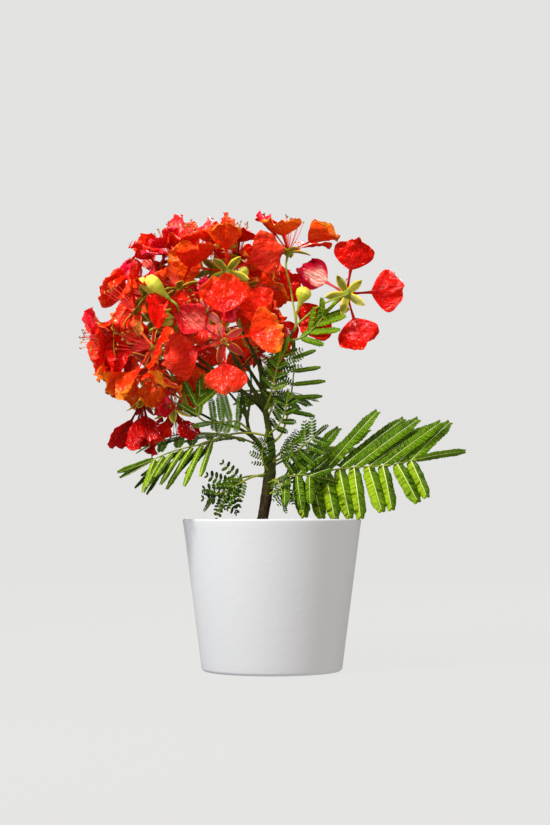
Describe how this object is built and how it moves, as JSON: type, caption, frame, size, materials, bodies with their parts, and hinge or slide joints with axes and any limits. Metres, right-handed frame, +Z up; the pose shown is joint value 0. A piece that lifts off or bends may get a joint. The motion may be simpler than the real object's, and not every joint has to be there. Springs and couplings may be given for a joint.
{
  "type": "potted royal poinciana",
  "caption": "Small flowering shrub in a plain tapered pot: leaning woody stem, thin green boughs, feathery twice-divided fronds and dense heads of red fan-petalled flowers.",
  "frame": {"origin": "centre of the pot's flat underside", "axes": "+Z up along the pot's axis, -Y towards the side that the picture shows, +X to the right in it"},
  "size_m": [0.387, 0.2477, 0.4589],
  "materials": {
    "pot": "matte",
    "soil": "matte",
    "bark": "matte",
    "green_stem": "satin",
    "leaf": "satin",
    "petal": "satin"
  },
  "bodies": {
    "root": {"pot": "pot", "soil": "soil", "trunk": "bark", "stem_right": "green_stem", "stem_left": "green_stem", "bough_right": "green_stem", "bough_centre": "green_stem", "bough_upper_left": "green_stem", "bough_left": "green_stem", "bough_low_left": "green_stem", "bough_top": "green_stem", "bough_back_right": "green_stem", "bough_back_left": "green_stem", "frond_right": "leaf", "frond_left": "leaf", "frond_low_left": "leaf", "frond_mid_left": "leaf", "frond_hanging": "leaf", "frond_upper_right": "leaf", "frond_tall": "leaf", "frond_inner": "leaf", "frond_small": "leaf", "frond_back_right": "leaf", "frond_back_left": "leaf", "frond_back": "leaf", "blossom_right": "petal", "blossom_front": "petal", "blossom_centre": "petal", "blossom_left": "petal", "blossom_low_left": "petal", "blossom_top": "petal", "blossom_back_right": "petal", "blossom_back_left": "petal"}
  },
  "joints": []
}
